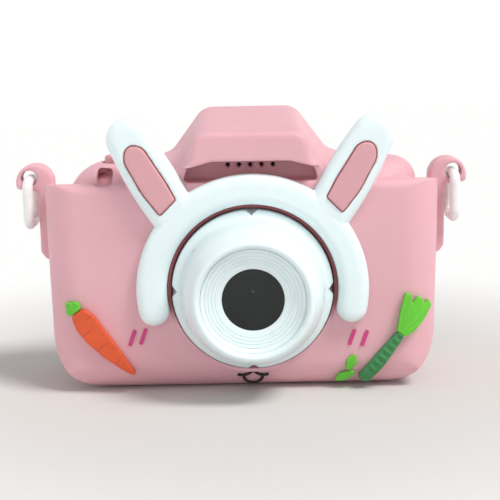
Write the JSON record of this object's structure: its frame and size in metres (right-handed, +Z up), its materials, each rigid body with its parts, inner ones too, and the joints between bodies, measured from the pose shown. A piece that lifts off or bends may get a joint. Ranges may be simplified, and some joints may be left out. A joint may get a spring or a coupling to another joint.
{
  "type": "kids digital camera",
  "caption": "Small toy-style digital camera in a soft pink rabbit sleeve: round lens, ears over an arch, prism hump, strap rings, rear screen and buttons.",
  "frame": {"origin": "middle of the flat base, halfway between the front and back faces of the sleeve", "axes": "+X across the camera to the right seen from the front, +Y from the front to the back, +Z up"},
  "size_m": [0.109, 0.0452, 0.0661],
  "materials": {
    "sleeve_pink": "soft satin silicone",
    "band_white": "satin silicone",
    "ear_pink": "matte silicone",
    "carrot_orange": "satin",
    "leaf_green": "satin",
    "stem_green": "satin",
    "cheek_magenta": "matte print",
    "mouth_black": "matte print",
    "lens_white": "smooth",
    "lens_dark": "dark glossy window",
    "case_pink": "satin plastic",
    "button_white": "smooth",
    "screen_black": "glossy",
    "clear_window": "glossy",
    "panel_grey": "glossy film",
    "metal": "plated",
    "board_green": "solder mask",
    "chip_black": "moulded",
    "flex_amber": "polyimide film",
    "battery_silver": "foil pouch",
    "foam_grey": "foam",
    "diffuser_white": "diffuser",
    "light_lens": "translucent",
    "card_black": "moulded"
  },
  "bodies": {
    "camera": {"silicone_sleeve": "sleeve_pink", "bunny_band": "band_white", "ear_inlay_left": "ear_pink", "ear_inlay_right": "ear_pink", "carrot_root": "carrot_orange", "carrot_leaves": "leaf_green", "leek_stem": "stem_green", "leek_leaves": "leaf_green", "sprout_leaves": "leaf_green", "cheek_marks": "cheek_magenta", "mouth_line": "mouth_black", "front_shell": "case_pink", "rear_shell": "case_pink", "lens_barrel": "lens_white", "lens_trim_ring": "lens_white", "lens_window": "lens_dark", "lens_bracket": "chip_black", "front_camera_module": "chip_black", "front_camera_lens": "lens_dark", "front_camera_flex": "flex_amber", "selfie_camera_module": "chip_black", "selfie_window": "clear_window", "main_board": "board_green", "processor_chip": "chip_black", "board_components": "chip_black", "microphone": "metal", "usb_port": "metal", "card_socket": "metal", "rear_switches": "chip_black", "shutter_switch": "chip_black", "shutter_switch_board": "board_green", "power_switch": "chip_black", "power_switch_board": "board_green", "screen_window": "screen_black", "lcd_gasket": "foam_grey", "lcd_panel": "panel_grey", "lcd_backlight": "diffuser_white", "lcd_flex": "flex_amber", "status_light": "light_lens", "battery": "battery_silver", "battery_pad": "foam_grey", "speaker": "chip_black", "case_screws": "metal", "board_screws": "metal"},
    "shutter": {"shutter_button": "case_pink"},
    "power": {"power_button": "button_white"},
    "up": {"up_button": "button_white"},
    "down": {"down_button": "button_white"},
    "left": {"left_button": "button_white"},
    "right": {"right_button": "button_white"},
    "ok": {"ok_button": "button_white"},
    "card": {"memory_card": "card_black"},
    "ring_left": {"strap_ring_left": "button_white"},
    "ring_right": {"strap_ring_right": "button_white"}
  },
  "joints": [
    {"name": "shutter_press", "type": "slide", "parent": "camera", "child": "shutter", "axis": [0, 0, -1], "range_m": [0, 0.001], "stiffness_N_per_m": 400},
    {"name": "power_press", "type": "slide", "parent": "camera", "child": "power", "axis": [0, 0, -1], "range_m": [0, 0.001], "stiffness_N_per_m": 400},
    {"name": "up_press", "type": "slide", "parent": "camera", "child": "up", "axis": [0, -1, 0], "range_m": [0, 0.0008], "stiffness_N_per_m": 400},
    {"name": "down_press", "type": "slide", "parent": "camera", "child": "down", "axis": [0, -1, 0], "range_m": [0, 0.0008], "stiffness_N_per_m": 400},
    {"name": "left_press", "type": "slide", "parent": "camera", "child": "left", "axis": [0, -1, 0], "range_m": [0, 0.0008], "stiffness_N_per_m": 400},
    {"name": "right_press", "type": "slide", "parent": "camera", "child": "right", "axis": [0, -1, 0], "range_m": [0, 0.0008], "stiffness_N_per_m": 400},
    {"name": "ok_press", "type": "slide", "parent": "camera", "child": "ok", "axis": [0, -1, 0], "range_m": [0, 0.0008], "stiffness_N_per_m": 400},
    {"name": "card_slide", "type": "slide", "parent": "camera", "child": "card", "axis": [0, 0, -1], "range_m": [0, 0.016]},
    {"name": "ring_swing_left", "type": "hinge", "parent": "camera", "child": "ring_left", "pos_m": [-0.0513, 0, 0.04982], "axis": [0, 1, 0], "range_deg": [0, 70]},
    {"name": "ring_swing_right", "type": "hinge", "parent": "camera", "child": "ring_right", "pos_m": [0.0513, 0, 0.04982], "axis": [0, -1, 0], "range_deg": [0, 70]}
  ]
}
